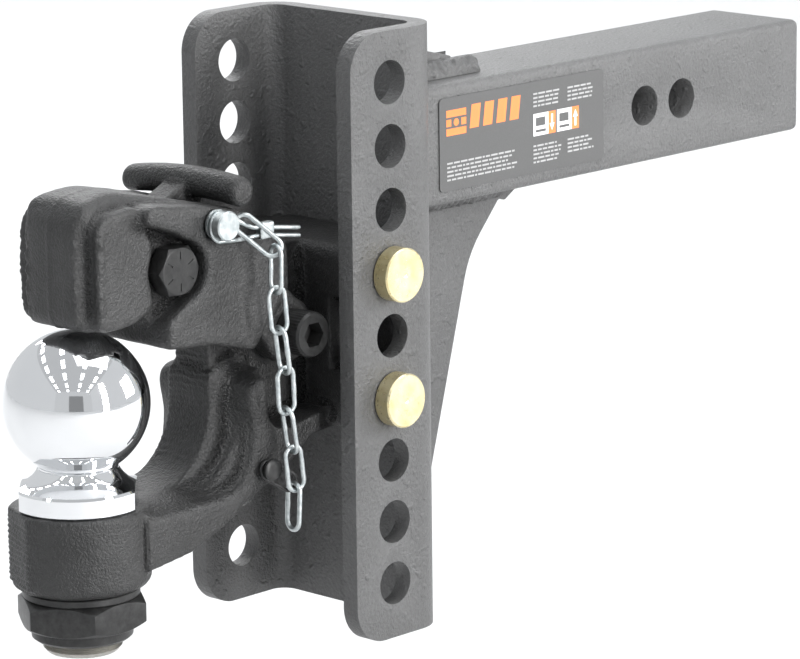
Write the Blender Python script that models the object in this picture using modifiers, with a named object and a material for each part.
"""Adjustable channel-mount hitch with a combination ball and pintle hook.

Frame: metres, +Z up, +Y towards the towing vehicle, ball at -Y. The origin is on the axis of the receiver
pin, in the middle of the square shank. Heights (Z) are measured from the shank's axis. Fore-and-aft places
are measured from the rear face of the channel's web, where the shank is welded, by the empty WEB_FRAME.
"""

import math

import bpy
import bmesh
from mathutils import Matrix, Vector

# Driving dimensions, in metres.
PIN_TO_WEB = 0.154
GAP = 0.0003

SHANK_SIDE = 0.0508
SHANK_LENGTH = 0.2625
SHANK_EDGE = 0.0025
RECEIVER_HOLE_R = 0.00875
RECEIVER_HOLE_SPACING = 0.025

CHANNEL_WIDTH = 0.097
CHANNEL_DEPTH = 0.054
CHANNEL_WALL = 0.008
CHANNEL_BEND_R = 0.015
CHANNEL_TOP = 0.0575
CHANNEL_BOTTOM = -0.1955
CHANNEL_CORNER_R = 0.016
FLANGE_HOLE_R = 0.009
FLANGE_HOLE_Y = -0.0315
FLANGE_HOLE_TOP = 0.0365
FLANGE_HOLE_PITCH = 0.0261
FLANGE_HOLES = 9
PIN_ROWS = (3, 5)

GUSSET_HALF = 0.00635
WELD_LEG = 0.008
LABEL_THICK = 0.0003

BALL_R = 0.02937
BALL_Y = -0.1615
BALL_Z = -0.0797
BOSS_R = 0.0283
BOSS_TOP = -0.1212
BOSS_BOTTOM = -0.157
BALL_SHANK_R = 0.0158
BALL_SHANK_END = -0.1805
BALL_NECK_R = 0.0161
BALL_FLANGE_R = 0.0236
NUT_ACROSS_FLATS = 0.0468
NUT_TURN = math.radians(58.8)
WRENCH_TURN = math.radians(-46)

HOOK_HALF = 0.028
THROAT_HALF = 0.013
POST_HALF = 0.010
BLOCK_HALF = 0.0395
BLOCK_TOP = -0.0305
BLOCK_BOTTOM = -0.107
BLOCK_FRONT = -0.046

CHEEK_HALF = 0.0285
NOSE_HALF = 0.0173
SLOT_HALF = 0.0105
LUG_HALF = 0.0215
JAW_PIVOT = (-0.0627, -0.0643)
LATCH_PIVOT = (-0.128, -0.0288)
LOCK_PIN = (-0.1107, -0.0121)
LATCH_HALF = 0.006
LATCH_LIFT = math.radians(12)
HANDLE_AT = (-0.099, 0.0008)
HANDLE_LENGTH = 0.071
HANDLE_R = 0.0056

LINK_WIRE_R = 0.0010
LINK_WIDTH = 0.0095
RIVET = (-0.0860, -0.1164)

X, Y, Z = Vector((1, 0, 0)), Vector((0, 1, 0)), Vector((0, 0, 1))
TURN = {
    "x": Matrix(((0, 0, 1, 0), (1, 0, 0, 0), (0, 1, 0, 0), (0, 0, 0, 1))),
    "y": Matrix(((0, 1, 0, 0), (0, 0, 1, 0), (1, 0, 0, 0), (0, 0, 0, 1))),
    "z": Matrix.Identity(4),
}

for old in list(bpy.data.objects):
    bpy.data.objects.remove(old, do_unlink=True)

PARTS = bpy.data.collections.new("trailer_hitch_with_ball")
CUTTERS = bpy.data.collections.new("cutters")
for group in (PARTS, CUTTERS):
    bpy.context.scene.collection.children.link(group)

WEB_FRAME = bpy.data.objects.new("web_frame", None)
WEB_FRAME.location = (0, -PIN_TO_WEB, 0)
PARTS.objects.link(WEB_FRAME)


def finish(name, color, roughness, metallic):
    material = bpy.data.materials.new(name)
    material.use_nodes = True
    shader = material.node_tree.nodes["Principled BSDF"]
    shader.inputs["Base Color"].default_value = (*color, 1)
    shader.inputs["Roughness"].default_value = roughness
    shader.inputs["Metallic"].default_value = metallic
    return material


CHANNEL_PAINT = finish("channel_powder_coat", (0.16, 0.16, 0.16), 0.5, 0.0)
FORGING_PAINT = finish("forging_paint", (0.07, 0.07, 0.07), 0.4, 0.0)
CHROME = finish("chrome_plate", (0.8, 0.8, 0.82), 0.06, 1.0)
ZINC = finish("clear_zinc_plate", (0.75, 0.76, 0.76), 0.3, 1.0)
YELLOW_ZINC = finish("yellow_zinc_plate", (0.7, 0.66, 0.5), 0.3, 1.0)
BLACK_OXIDE = finish("black_oxide", (0.05, 0.05, 0.05), 0.35, 0.6)
LABEL_FILM = finish("label_film", (0.1, 0.1, 0.1), 0.5, 0.0)


def place(shape, matrix=None, parent=WEB_FRAME):
    """Puts a shape at a matrix measured in the frame of the channel's web."""
    shape.parent = parent
    shape.matrix_local = matrix or Matrix.Identity(4)
    return shape


def keep(shape, name, material):
    """Makes a finished shape one of the object's parts."""
    shape.name = name
    shape.data.name = name
    shape.data.materials.clear()
    shape.data.materials.append(material)
    shape.data.shade_smooth()
    shape.data.set_sharp_from_angle(angle=math.radians(35))
    if CUTTERS in shape.users_collection:
        CUTTERS.objects.unlink(shape)
        PARTS.objects.link(shape)
    shape.hide_render = False
    shape.display_type = "TEXTURED"
    return shape


def helper(name, mesh):
    shape = bpy.data.objects.new(name, mesh)
    CUTTERS.objects.link(shape)
    shape.hide_render = True
    shape.display_type = "WIRE"
    return shape


def mesh_from(name, build):
    """A mesh made by a function that fills a bmesh."""
    work = bmesh.new()
    build(work)
    bmesh.ops.recalc_face_normals(work, faces=work.faces)
    mesh = bpy.data.meshes.new(name)
    work.to_mesh(mesh)
    work.free()
    return mesh


def rounded(corners, step=math.radians(18)):
    """An outline whose corners (across, up, radius) are rounded with arcs."""
    points = []
    for i, (a, b, radius) in enumerate(corners):
        here = Vector((a, b))
        back = (Vector(corners[i - 1][:2]) - here).normalized()
        ahead = (Vector(corners[(i + 1) % len(corners)][:2]) - here).normalized()
        if radius <= 0:
            points.append(here)
            continue
        half = back.angle(ahead) / 2
        centre = here + (back + ahead).normalized() * (radius / math.sin(half))
        start = here + back * (radius / math.tan(half)) - centre
        turn = math.pi - 2 * half
        if back.x * ahead.y - back.y * ahead.x > 0:
            turn = -turn
        steps = max(1, math.ceil(abs(turn) / step))
        for k in range(steps + 1):
            spot = Matrix.Rotation(turn * k / steps, 2) @ start
            points.append(centre + spot)
    return points


def solid_from_curve(name, curve):
    """The closed mesh of a curve, with its caps welded."""
    guide = bpy.data.objects.new(name, curve)
    bpy.context.scene.collection.objects.link(guide)
    graph = bpy.context.evaluated_depsgraph_get()
    mesh = bpy.data.meshes.new_from_object(guide.evaluated_get(graph))
    bpy.data.objects.remove(guide, do_unlink=True)
    work = bmesh.new()
    work.from_mesh(mesh)
    bmesh.ops.remove_doubles(work, verts=work.verts, dist=1e-6)
    bmesh.ops.recalc_face_normals(work, faces=work.faces)
    work.to_mesh(mesh)
    work.free()
    return mesh


def plate(name, corners, low, high, axis="x"):
    """A flat outline with rounded corners, as thick as from low to high along an axis."""
    curve = bpy.data.curves.new(name, "CURVE")
    curve.dimensions = "2D"
    curve.fill_mode = "BOTH"
    curve.extrude = (high - low) / 2
    points = rounded(corners)
    spline = curve.splines.new("POLY")
    spline.points.add(len(points) - 1)
    for spot, point in zip(spline.points, points):
        spot.co = (*point, 0, 1)
    spline.use_cyclic_u = True
    shape = helper(name, solid_from_curve(name, curve))
    middle = {"x": X, "y": Y, "z": Z}[axis] * (low + high) / 2
    return place(shape, Matrix.Translation(middle) @ TURN[axis])


def box(name, low, high, edge=0.0):
    low, high = Vector(low), Vector(high)

    def build(work):
        bmesh.ops.create_cube(work, size=1)
        size = Matrix.Diagonal((*(high - low), 1))
        bmesh.ops.transform(work, matrix=size, verts=work.verts)
        if edge:
            bmesh.ops.bevel(work, geom=work.edges[:], offset=edge, segments=2, affect="EDGES", profile=0.5)

    shape = helper(name, mesh_from(name, build))
    return place(shape, Matrix.Translation((low + high) / 2))


def rod(name, radius, low, high, at=(0, 0), axis="x", sides=28, tip=None, turn=0.0):
    """A round or many-sided bar, or a cone to the radius tip, along an axis through a point across it."""

    def build(work):
        bmesh.ops.create_cone(
            work, cap_ends=True, segments=sides, radius1=radius, radius2=tip or radius, depth=high - low
        )

    middle = (low + high) / 2
    centre = {
        "x": (middle, at[0], at[1]),
        "y": (at[0], middle, at[1]),
        "z": (at[0], at[1], middle),
    }[axis]
    shape = helper(name, mesh_from(name, build))
    return place(shape, Matrix.Translation(centre) @ TURN[axis] @ Matrix.Rotation(turn, 4, "Z"))


def wire(name, points, radius, closed=False, sides=2):
    """A bent round wire through points of the web's frame."""
    curve = bpy.data.curves.new(name, "CURVE")
    curve.dimensions = "3D"
    curve.bevel_depth = radius
    curve.bevel_resolution = sides
    curve.use_fill_caps = True
    spline = curve.splines.new("POLY")
    spline.points.add(len(points) - 1)
    for spot, point in zip(spline.points, points):
        spot.co = (*point, 1)
    spline.use_cyclic_u = closed
    return place(helper(name, solid_from_curve(name, curve)))


def turned(name, profile, at, steps=40):
    """A solid of revolution about a vertical axis, from a profile of (radius, height) top to bottom."""
    mesh = bpy.data.meshes.new(name)
    vertices = [(radius, 0, height) for radius, height in profile]
    mesh.from_pydata(vertices, [(i, i + 1) for i in range(len(profile) - 1)], [])
    shape = helper(name, mesh)
    screw = shape.modifiers.new("turn", "SCREW")
    screw.steps = steps
    screw.render_steps = steps
    screw.use_merge_vertices = True
    screw.merge_threshold = 0.00001
    return place(shape, Matrix.Translation((at[0], at[1], 0)))


def join(shape, *others):
    for other in others:
        union = shape.modifiers.new("join " + other.name, "BOOLEAN")
        union.operation = "UNION"
        union.object = other
    return shape


def cut(shape, *others):
    for other in others:
        difference = shape.modifiers.new("cut " + other.name, "BOOLEAN")
        difference.operation = "DIFFERENCE"
        difference.object = other
    return shape


def common(shape, other):
    intersect = shape.modifiers.new("keep " + other.name, "BOOLEAN")
    intersect.operation = "INTERSECT"
    intersect.object = other
    return shape


def flange_hole_height(row):
    return FLANGE_HOLE_TOP - row * FLANGE_HOLE_PITCH


def make_shank():
    half = SHANK_SIDE / 2
    bar = box("shank", (-half, GAP, -half), (half, SHANK_LENGTH, half), SHANK_EDGE)
    for k in range(2):
        at = (PIN_TO_WEB + k * RECEIVER_HOLE_SPACING, 0)
        cut(bar, rod(f"receiver_hole_{k}", RECEIVER_HOLE_R, -half * 1.2, half * 1.2, at))
    keep(bar, "shank", CHANNEL_PAINT)


def make_channel():
    half = CHANNEL_WIDTH / 2
    inner_bend = CHANNEL_BEND_R - CHANNEL_WALL
    section = [
        (-half, -CHANNEL_DEPTH, 0.001),
        (-half + CHANNEL_WALL, -CHANNEL_DEPTH, 0.001),
        (-half + CHANNEL_WALL, -CHANNEL_WALL, inner_bend),
        (half - CHANNEL_WALL, -CHANNEL_WALL, inner_bend),
        (half - CHANNEL_WALL, -CHANNEL_DEPTH, 0.001),
        (half, -CHANNEL_DEPTH, 0.001),
        (half, 0, CHANNEL_BEND_R),
        (-half, 0, CHANNEL_BEND_R),
    ]
    channel = plate("channel", section, CHANNEL_BOTTOM, CHANNEL_TOP, "z")
    side = [
        (-CHANNEL_DEPTH, CHANNEL_BOTTOM, CHANNEL_CORNER_R),
        (0.01, CHANNEL_BOTTOM, 0),
        (0.01, CHANNEL_TOP, 0),
        (-CHANNEL_DEPTH, CHANNEL_TOP, CHANNEL_CORNER_R),
    ]
    common(channel, plate("channel_side_view", side, -half * 1.1, half * 1.1))
    for row in range(FLANGE_HOLES):
        at = (FLANGE_HOLE_Y, flange_hole_height(row))
        cut(channel, rod(f"flange_hole_{row}", FLANGE_HOLE_R, -half * 1.1, half * 1.1, at, sides=24))
    keep(channel, "channel", CHANNEL_PAINT)


def make_gusset():
    under = -SHANK_SIDE / 2 - GAP
    outline = [
        (GAP, under, 0),
        (GAP, -0.182, 0.002),
        (0.0255, -0.182, 0.006),
        (0.0625, -0.054, 0.014),
        (0.098, under, 0),
    ]
    keep(plate("gusset_plate", outline, -GUSSET_HALF, GUSSET_HALF), "gusset_plate", CHANNEL_PAINT)


def make_welds():
    """Fillet welds: a ring round the shank, and beads on both sides of the gusset."""
    half = SHANK_SIDE / 2 + GAP
    ring = box("weld_shank", (-half - WELD_LEG, GAP, -half - WELD_LEG), (half + WELD_LEG, 0.011, half + WELD_LEG))
    corner = math.sqrt(2) * 1.01
    wide, narrow = (half + WELD_LEG) * corner, half * corner
    common(ring, rod("weld_slope", wide, GAP, 0.0115, axis="y", sides=4, tip=narrow, turn=math.pi / 4))
    cut(ring, box("weld_shank_room", (-half, -0.01, -half), (half, 0.02, half)))
    side = GUSSET_HALF + GAP
    cut(ring, box("weld_gusset_room", (-side, -0.01, -half - 0.02), (side, 0.02, -half + 0.001)))
    keep(ring, "weld_shank", CHANNEL_PAINT)
    under = -SHANK_SIDE / 2 - GAP
    for name, sign in (("right", 1), ("left", -1)):
        top = [(sign * side, under), (sign * (side + WELD_LEG), under), (sign * side, under - WELD_LEG)]
        if sign < 0:
            top.reverse()
        bead = plate(f"bead_top_{name}", [(z, x, 0) for x, z in top], 0.0125, 0.078, "y")
        keep(bead, f"weld_gusset_shank_{name}", CHANNEL_PAINT)
        foot = [(sign * side, GAP), (sign * (side + WELD_LEG), GAP), (sign * side, GAP + WELD_LEG)]
        bead = plate(f"bead_foot_{name}", [(x, y, 0) for x, y in foot], -0.178, under - WELD_LEG - 0.002, "z")
        keep(bead, f"weld_gusset_channel_{name}", CHANNEL_PAINT)


def make_label():
    face = SHANK_SIDE / 2 + GAP
    outline = [(0.0218, -0.0195, 0.002), (0.1258, -0.0195, 0.002), (0.1258, 0.0200, 0.002), (0.0218, 0.0200, 0.002)]
    keep(plate("label", outline, face, face + LABEL_THICK), "information_label", LABEL_FILM)


def make_pintle_body():
    pivot_y, pivot_z = JAW_PIVOT
    web = [
        (-0.030, BLOCK_TOP, 0),
        (-0.0745, -0.0300, 0.001),
        (-0.0805, -0.0360, 0.0005),
        (-0.0985, -0.0360, 0.004),
        (-0.0990, -0.1200, 0.033),
        (-0.1500, -0.1216, 0),
        (-0.1500, -0.1480, 0),
        (-0.1254, -0.1432, 0.02),
        (-0.0943, -0.1301, 0.05),
        (-0.0758, -0.1212, 0.02),
        (-0.0560, BLOCK_BOTTOM, 0.008),
        (-0.030, BLOCK_BOTTOM, 0),
    ]
    body = plate("pintle_web", web, -POST_HALF, POST_HALF)
    throat = [
        (-0.0800, -0.0720, 0.001),
        (-0.1010, -0.0760, 0.006),
        (-0.1010, -0.1203, 0.031),
        (-0.1500, -0.1219, 0),
        (-0.1500, -0.1470, 0),
        (-0.1200, -0.1400, 0.02),
        (-0.0800, -0.1180, 0.02),
    ]
    middle = [
        (-0.0800, -0.0760, 0.001),
        (-0.0930, -0.0800, 0.004),
        (-0.0940, -0.1213, 0.026),
        (-0.1500, -0.1227, 0),
        (-0.1500, -0.1470, 0),
        (-0.1200, -0.1400, 0.02),
        (-0.0800, -0.1180, 0.02),
    ]
    rib = [
        (-0.0810, -0.0790, 0.002),
        (-0.0865, -0.0810, 0.002),
        (-0.0868, -0.1235, 0.020),
        (-0.1500, -0.1245, 0),
        (-0.1500, -0.1466, 0),
        (-0.1254, -0.1432, 0.02),
        (-0.0943, -0.1301, 0.05),
        (-0.0758, -0.1212, 0.02),
        (-0.0570, -0.1075, 0.004),
        (-0.0420, -0.1068, 0),
        (-0.0420, -0.0970, 0),
        (-0.0700, -0.1020, 0.004),
        (-0.0810, -0.1010, 0.006),
    ]
    join(body, plate("throat_core", throat, -THROAT_HALF, THROAT_HALF))
    join(body, plate("throat_middle", middle, -0.021, 0.021))
    join(body, plate("hook_rib", rib, -HOOK_HALF, HOOK_HALF))
    rear = -CHANNEL_WALL - GAP * 2
    block = [
        (BLOCK_FRONT, BLOCK_BOTTOM, 0.004),
        (rear, BLOCK_BOTTOM, 0),
        (rear, BLOCK_TOP, 0),
        (BLOCK_FRONT, BLOCK_TOP, 0.005),
    ]
    join(body, plate("rear_block", block, -BLOCK_HALF, BLOCK_HALF))
    join(body, rod("ball_boss", BOSS_R, BOSS_BOTTOM, BOSS_TOP, (0, BALL_Y), "z", 48))
    for sign in (1, -1):
        inner, outer = sorted((sign * 0.027, sign * (BLOCK_HALF + 0.002)))
        pocket = [(-0.022, -0.083, 0.004), (-0.022, -0.052, 0.004), (-0.060, -0.052, 0), (-0.060, -0.083, 0)]
        cut(body, plate(f"block_pocket_{sign}", pocket, inner, outer))
        corner = CHANNEL_WIDTH / 2 - CHANNEL_BEND_R
        edge = sorted((sign * (corner - 0.001), sign * 0.045))
        relief = [(edge[0], -0.017, 0), (edge[1], -0.017, 0), (edge[1], -0.005, 0), (edge[0], -0.005, 0)]
        cut(body, plate(f"bend_relief_{sign}", relief, BLOCK_BOTTOM - 0.01, BLOCK_TOP + 0.01, "z"))
    for row in PIN_ROWS:
        at = (FLANGE_HOLE_Y, flange_hole_height(row))
        cut(body, rod(f"block_hole_{row}", 0.0083, -0.05, 0.05, at, sides=24))
    cut(body, rod("pivot_hole", 0.0067, -0.04, 0.04, (pivot_y, pivot_z), sides=20))
    cut(body, rod("ball_hole", BALL_SHANK_R + GAP, -0.17, -0.11, (0, BALL_Y), "z", 40))
    cut(body, rod("rivet_hole", 0.0026, 0.016, 0.04, RIVET, sides=16))
    keep(body, "pintle_body", FORGING_PAINT)


def make_ball():
    """Hitch ball in one piece: ball, waisted neck, wrench flange and threaded shank."""
    neck_z = BALL_Z - math.sqrt(BALL_R**2 - BALL_NECK_R**2)
    profile = [(0, BALL_Z + BALL_R)]
    turns = 16
    last = math.acos((BALL_Z - neck_z) / BALL_R)
    for k in range(1, turns + 1):
        angle = (math.pi - last) * k / turns
        profile.append((BALL_R * math.sin(angle), BALL_Z + BALL_R * math.cos(angle)))
    flange_top = -0.1123
    waist = [(BALL_NECK_R, neck_z), (BALL_NECK_R + 0.0002, -0.1055), (0.0182, -0.1092), (0.0222, flange_top)]
    profile = profile[:-1] + waist
    foot = BOSS_TOP + GAP
    profile += [
        (BALL_FLANGE_R, -0.1134),
        (BALL_FLANGE_R, foot),
        (BALL_SHANK_R, foot),
        (BALL_SHANK_R, BALL_SHANK_END + 0.0018),
        (BALL_SHANK_R - 0.0018, BALL_SHANK_END),
        (0, BALL_SHANK_END),
    ]
    ball = turned("hitch_ball", profile, (0, BALL_Y), 44)
    for side in (0.0215, -0.0215):
        low, high = sorted((side, side * 1.3))
        flat = box(f"wrench_flat_{low:.3f}", (-0.04, low, foot - 0.001), (0.04, high, flange_top))
        centre = Matrix.Translation((0, (low + high) / 2, (foot - 0.001 + flange_top) / 2))
        around = Matrix.Translation((0, BALL_Y, 0)) @ Matrix.Rotation(WRENCH_TURN, 4, "Z")
        cut(ball, place(flat, around @ centre))
    keep(ball, "hitch_ball", CHROME)

    top = BOSS_BOTTOM - GAP
    washer = rod("ball_lock_washer", 0.0235, top - 0.003, top, (0, BALL_Y), "z", 36)
    cut(washer, rod("washer_bore", BALL_SHANK_R + GAP, top - 0.01, top + 0.01, (0, BALL_Y), "z", 36))
    slit = box("washer_slit", (-0.0008, BALL_Y, top - 0.01), (0.0008, BALL_Y + 0.03, top + 0.01))
    cut(washer, slit)
    keep(washer, "ball_lock_washer", ZINC)

    nut_top = top - 0.003 - GAP
    corner_r = NUT_ACROSS_FLATS / math.sqrt(3)
    nut = rod("ball_nut", corner_r, nut_top - 0.0098, nut_top, (0, BALL_Y), "z", 6, turn=NUT_TURN)
    join(nut, rod("nut_collar", 0.0205, nut_top - 0.0145, nut_top - 0.005, (0, BALL_Y), "z", 36))
    cut(nut, rod("nut_bore", BALL_SHANK_R + GAP, nut_top - 0.03, nut_top + 0.01, (0, BALL_Y), "z", 36))
    keep(nut, "ball_nut", BLACK_OXIDE)


def make_upper_jaw():
    core = [
        (-0.1740, -0.0490, 0.007),
        (-0.1370, -0.0470, 0.003),
        (-0.1370, -0.0593, 0.003),
        (-0.1100, -0.0611, 0),
        (-0.0890, -0.0655, 0.002),
        (-0.0836, -0.0587, 0.006),
        (-0.0702, -0.0456, 0.006),
        (-0.0702, -0.0245, 0.012),
        (-0.1010, -0.0070, 0.030),
        (-0.1300, -0.0004, 0.030),
        (-0.1540, 0.0050, 0.020),
        (-0.1740, 0.0020, 0.015),
    ]
    cheek = [
        (-0.1366, -0.0593, 0.002),
        (-0.1100, -0.0615, 0),
        (-0.0890, -0.0675, 0.003),
        (-0.0828, -0.0590, 0.006),
        (-0.0695, -0.0460, 0.006),
        (-0.0695, -0.0240, 0.012),
        (-0.1010, -0.0065, 0.030),
        (-0.1460, 0.0000, 0.005),
        (-0.1480, -0.0070, 0.003),
        (-0.1300, -0.0135, 0.010),
        (-0.1180, -0.0210, 0.006),
        (-0.1180, -0.0370, 0.006),
        (-0.1366, -0.0480, 0.004),
    ]
    jaw = plate("jaw_core", core, -NOSE_HALF, NOSE_HALF)
    for name, sign in (("right", 1), ("left", -1)):
        low, high = sorted((sign * 0.016, sign * CHEEK_HALF))
        join(jaw, plate(f"cheek_{name}", cheek, low, high))
        low, high = sorted((sign * (NOSE_HALF - 0.002), sign * 0.0225))
        panel = [(-0.1600, -0.0480, 0.003), (-0.1370, -0.0455, 0.001), (-0.1370, -0.0010, 0), (-0.1600, 0.0010, 0.004)]
        join(jaw, plate(f"nose_panel_{name}", panel, low, high))
    lug_root = [(-0.0840, -0.0585, 0), (-0.0700, -0.0750, 0), (-0.0515, -0.0580, 0), (-0.0700, -0.0400, 0)]
    lugs = rod("jaw_lugs", 0.0135, -LUG_HALF, LUG_HALF, JAW_PIVOT, sides=40)
    join(lugs, plate("lug_root", lug_root, -LUG_HALF, LUG_HALF))
    join(jaw, lugs)
    slot = [
        (-0.0300, -0.0900, 0),
        (-0.1290, -0.0900, 0),
        (-0.1290, -0.0420, 0.002),
        (-0.1385, -0.0400, 0.003),
        (-0.1385, -0.0190, 0.006),
        (-0.1240, -0.0050, 0.002),
        (-0.1240, 0.0200, 0),
        (-0.0300, 0.0200, 0),
    ]
    cut(jaw, plate("latch_slot", slot, -SLOT_HALF, SLOT_HALF))
    for name, sign in (("right", 1), ("left", -1)):
        low, high = sorted((sign * 0.0170, sign * 0.035))
        cut(jaw, rod(f"bolt_pocket_{name}", 0.0128, low, high, LATCH_PIVOT, sides=28))
    cut(jaw, rod("latch_bolt_hole", 0.0066, -0.04, 0.04, LATCH_PIVOT, sides=20))
    cut(jaw, rod("lock_pin_hole", 0.0052, -0.04, 0.04, LOCK_PIN, sides=20))
    cut(jaw, rod("jaw_pivot_hole", 0.0067, -0.04, 0.04, JAW_PIVOT, sides=20))
    keep(jaw, "upper_jaw", FORGING_PAINT)


def arc_point(centre, radius, angle):
    return (centre[0] + radius * math.cos(angle), centre[1] + radius * math.sin(angle))


def make_latch():
    """Latch lever: pivots on its bolt between the cheeks, hooks behind the body, and carries the T handle."""
    lever = [
        (-0.1363, -0.0370, 0.008),
        (-0.1180, -0.0370, 0.006),
        (-0.1040, -0.0270, 0.004),
        (-0.0880, -0.0255, 0.001),
        (-0.0868, -0.0344, 0.001),
        (-0.0812, -0.0344, 0.0005),
        (-0.0762, -0.0290, 0.0005),
        (-0.0760, -0.0190, 0.004),
        (-0.0960, -0.0130, 0.003),
        (-0.0935, -0.0010, 0.002),
        (-0.1030, 0.0020, 0.002),
        (-0.1180, -0.0050, 0.004),
        (-0.1240, -0.0170, 0.004),
        (-0.1363, -0.0200, 0.008),
    ]
    latch = plate("latch_lever", lever, -LATCH_HALF, LATCH_HALF)
    join(latch, rod("handle_bar", HANDLE_R, -HANDLE_LENGTH / 2, HANDLE_LENGTH / 2, HANDLE_AT, sides=20))
    reach = Vector((LOCK_PIN[0] - LATCH_PIVOT[0], LOCK_PIN[1] - LATCH_PIVOT[1]))
    rest = math.atan2(reach.y, reach.x)
    outer, inner = reach.length + 0.0056, reach.length - 0.0056
    early, late = rest + 0.2, rest - LATCH_LIFT - 0.25
    steps = 4
    angles = [early + (late - early) * k / steps for k in range(steps + 1)]
    rim = [(*arc_point(LATCH_PIVOT, outer, a), 0) for a in angles]
    rim += [(*arc_point(LATCH_PIVOT, inner, a), 0) for a in reversed(angles)]
    cut(latch, plate("lock_pin_slot", rim, -0.02, 0.02))
    cut(latch, rod("latch_bore", 0.0066, -0.02, 0.02, LATCH_PIVOT, sides=20))
    keep(latch, "latch_lever", FORGING_PAINT)

    turns, wire_r, coil_r = 1.6, 0.0005, 0.0079
    steps = 22
    points = []
    for k in range(steps + 1):
        angle = 2 * math.pi * turns * k / steps
        y, z = arc_point(LATCH_PIVOT, coil_r, angle + 0.6)
        points.append((-0.0075 - 0.0019 * k / steps, y, z))
    keep(wire("latch_spring", points, wire_r), "latch_spring", BLACK_OXIDE)


def hex_head(name, across_flats, low, high, at, turn=0.0):
    return rod(name, across_flats / math.sqrt(3), low, high, at, sides=6, turn=turn)


def make_fasteners():
    bolt = hex_head("latch_bolt", 0.0190, 0.0176, 0.0262, LATCH_PIVOT)
    join(bolt, rod("latch_bolt_shank", 0.00625, -0.0268, 0.0200, LATCH_PIVOT, sides=20))
    keep(bolt, "latch_bolt", BLACK_OXIDE)
    nut = hex_head("latch_bolt_nut", 0.0190, -0.0245, -0.0176, LATCH_PIVOT, 0.2)
    cut(nut, rod("latch_nut_bore", 0.00655, -0.03, -0.01, LATCH_PIVOT, sides=20))
    keep(nut, "latch_bolt_nut", BLACK_OXIDE)

    face = LUG_HALF + GAP
    screw = rod("jaw_pivot_screw", 0.0094, face, face + 0.0127, JAW_PIVOT, sides=32)
    join(screw, rod("pivot_screw_shank", 0.00635, -0.0350, 0.0250, JAW_PIVOT, sides=20))
    cut(screw, hex_head("key_socket", 0.0096, face + 0.0055, face + 0.02, JAW_PIVOT, math.pi / 6))
    keep(screw, "jaw_pivot_screw", BLACK_OXIDE)
    nut = hex_head("jaw_pivot_nut", 0.0190, -face - 0.0110, -face, JAW_PIVOT, 0.4)
    cut(nut, rod("pivot_nut_bore", 0.00665, -0.04, -0.01, JAW_PIVOT, sides=20))
    keep(nut, "jaw_pivot_nut", BLACK_OXIDE)

    head_top = CHEEK_HALF + 0.0078
    pin = rod("lock_pin", 0.0060, CHEEK_HALF + GAP, head_top, LOCK_PIN, sides=28)
    groove = rod("pin_groove_room", 0.009, CHEEK_HALF + 0.0012, CHEEK_HALF + 0.0042, LOCK_PIN, sides=28)
    cut(groove, rod("pin_groove_core", 0.0046, 0.02, 0.04, LOCK_PIN, sides=28))
    cut(pin, groove)
    join(pin, rod("lock_pin_shank", 0.0047, -0.0330, CHEEK_HALF + 0.002, LOCK_PIN, sides=24))
    keep(pin, "lock_pin", ZINC)


def make_wire_clip():
    """Bow of spring wire in the lock pin's groove, its two legs held together by a flat ferrule."""
    x = CHEEK_HALF + 0.0030
    radius, slack, wire_r = 0.0061, 0.0005, 0.0011
    tip = Vector((0.0333, -0.0690, -0.0207))
    ferrule = Vector((0.0329, -0.0900, -0.0174))
    upper, lower = [], []
    for k in range(7):
        angle = math.radians(180 - 22 * k)
        upper.append(Vector((x, *arc_point(LOCK_PIN, radius, angle))))
    for k in range(1, 5):
        angle = math.radians(180 + 22 * k)
        lower.append(Vector((x, *arc_point(LOCK_PIN, radius + slack * k, angle))))
    apart = Vector((0, 0, 0.0016))
    entry = ferrule - Y * 0.0048
    upper += [entry + apart, ferrule + apart, tip + apart]
    lower += [Vector((x - 0.0014, -0.0985, -0.0202)), entry - apart, ferrule - apart, tip - apart]
    keep(wire("lock_pin_clip", upper[::-1] + lower, wire_r), "lock_pin_clip", ZINC)

    half, room = Vector((0.0018, 0.0040, 0.0037)), Vector((0.0014, 0.01, 0.0033))
    band = box("clip_ferrule", ferrule - half, ferrule + half, 0.0005)
    cut(band, box("ferrule_room", ferrule - room, ferrule + room))
    keep(band, "clip_ferrule", ZINC)


def link_points(length, width):
    """Centre line of an oval link along its own length."""
    radius = width / 2
    straight = length / 2 - radius
    points = []
    for centre, start in ((straight, -90), (-straight, 90)):
        for k in range(7):
            angle = math.radians(start + 30 * k)
            points.append(Vector((centre + radius * math.cos(angle), radius * math.sin(angle), 0)))
    return points


def make_link(name, top, bottom, face):
    """A chain link between two places; face is the direction that its flat side looks in."""
    top, bottom, face = Vector(top), Vector(bottom), Vector(face)
    along = (bottom - top).normalized()
    across = face.cross(along).normalized()
    normal = along.cross(across)
    turn = Matrix((along, across, normal)).transposed().to_4x4()
    turn.translation = (top + bottom) / 2
    reach = (bottom - top).length
    points = [turn @ p for p in link_points(reach, LINK_WIDTH - 2 * LINK_WIRE_R)]
    keep(wire(name, points, LINK_WIRE_R, closed=True, sides=1), name, ZINC)


# Where each link crosses the next, and how far past that point both wires reach.
CHAIN_KNOTS = [
    (0.0302, -0.1005, -0.0111, 0.0),
    (0.0421, -0.0910, -0.0238, 0.00175),
    (0.0416, -0.0909, -0.0402, 0.00115),
    (0.0410, -0.0885, -0.0570, 0.00115),
    (0.0402, -0.0852, -0.0741, 0.00115),
    (0.0390, -0.0833, -0.0912, 0.00115),
    (0.0376, -0.0792, -0.1082, 0.00115),
    (0.0362, -0.0756, -0.1250, 0.00115),
]
HANGING_LINK = ((0.03475, -0.0756, -0.12335), (0.0344, -0.0764, -0.1428))
ANCHOR_LINK_TURN = (0.0333, -0.0756, -0.12365)


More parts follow.
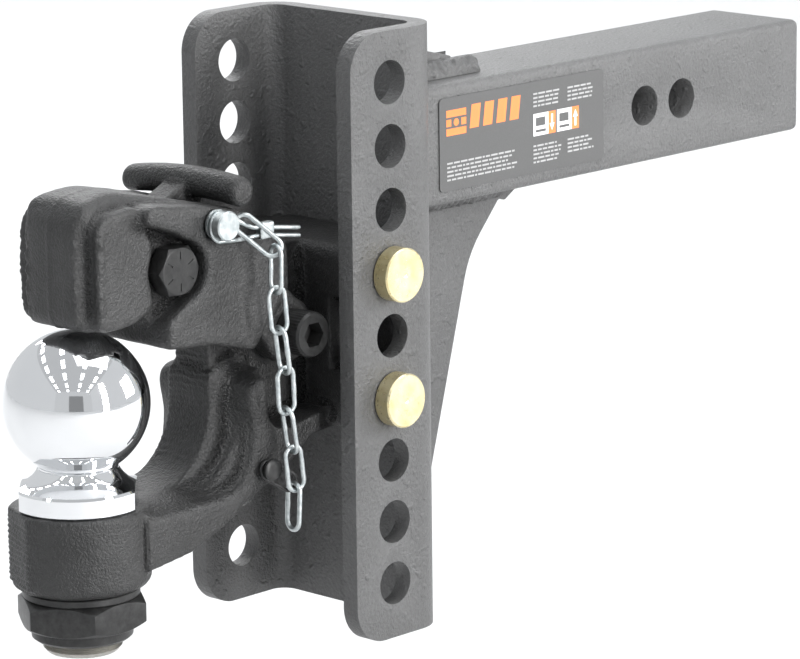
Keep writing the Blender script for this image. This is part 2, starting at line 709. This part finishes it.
def make_chain():
    """Seven links run down from the wire clip to a loose eighth one, which the anchor link also holds."""
    for k in range(len(CHAIN_KNOTS) - 1):
        (*top, reach_up), (*bottom, reach_down) = CHAIN_KNOTS[k : k + 2]
        top, bottom = Vector(top), Vector(bottom)
        along = (bottom - top).normalized()
        face = Vector((0.2, 1, 0)) if k % 2 else Vector((1, -0.2, 0))
        if k == 0:
            face = Vector((0.673, -0.707, 0.219))
        make_link(f"chain_link_{k + 1}", top - along * reach_up, bottom + along * reach_down, face)
    make_link("chain_link_8", *HANGING_LINK, Vector((0.1, 1, 0)))


def make_anchor():
    y, z = RIVET
    neck_r = 0.0022
    rivet = rod("chain_rivet", 0.0047, HOOK_HALF + 0.0044, HOOK_HALF + 0.0064, RIVET, sides=24)
    join(rivet, rod("rivet_neck", neck_r, 0.0170, HOOK_HALF + 0.0050, RIVET, sides=16))
    keep(rivet, "chain_rivet", BLACK_OXIDE)
    turn, neck = Vector(ANCHOR_LINK_TURN), Vector((HOOK_HALF + 0.0025, y, z))
    along = (neck - turn).normalized()
    low, high = turn - along * 0.0023, neck + along * (neck_r + LINK_WIRE_R + 0.0002)
    make_link("anchor_link", low, high, X)


def make_channel_pins():
    out = CHANNEL_WIDTH / 2
    for name, row in zip(("upper", "lower"), PIN_ROWS):
        at = (FLANGE_HOLE_Y, flange_hole_height(row))
        pin = rod(f"channel_pin_{name}", 0.0112, out + GAP, out + 0.0078, at, sides=36)
        join(pin, rod(f"pin_shank_{name}", 0.0079, -out - 0.0125, out + 0.002, at, sides=24))
        cross = -out - 0.0065
        hole = rod(f"pin_cross_hole_{name}", 0.0019, at[0] - 0.02, at[0] + 0.02, (cross, at[1]), "y", 12)
        cut(pin, hole)
        keep(pin, f"channel_pin_{name}", YELLOW_ZINC)
        y, z = at
        spring_r = 0.0014
        route = [(cross, y - 0.0150, z), (cross, y + 0.0190, z)]
        for k in range(1, 6):
            angle = math.radians(180 * k / 6)
            route.append((cross, y + 0.0190 + 0.0056 * math.sin(angle), z + 0.0056 * (1 - math.cos(angle))))
        route += [(cross, y + 0.0180, z + 0.0112), (cross, y + 0.0100, z + 0.0100)]
        for k in range(4):
            angle = math.radians(40 + 17 * k)
            route.append((cross, y + 0.0099 * math.cos(angle), z + 0.0099 * math.sin(angle)))
        route += [(cross, y - 0.0110, z + 0.0099), (cross, y - 0.0155, z + 0.0125)]
        keep(wire(f"hairpin_clip_{name}", route, spring_r), f"hairpin_clip_{name}", ZINC)


make_shank()
make_channel()
make_gusset()
make_welds()
make_label()
make_pintle_body()
make_ball()
make_upper_jaw()
make_latch()
make_fasteners()
make_wire_clip()
make_chain()
make_anchor()
make_channel_pins()
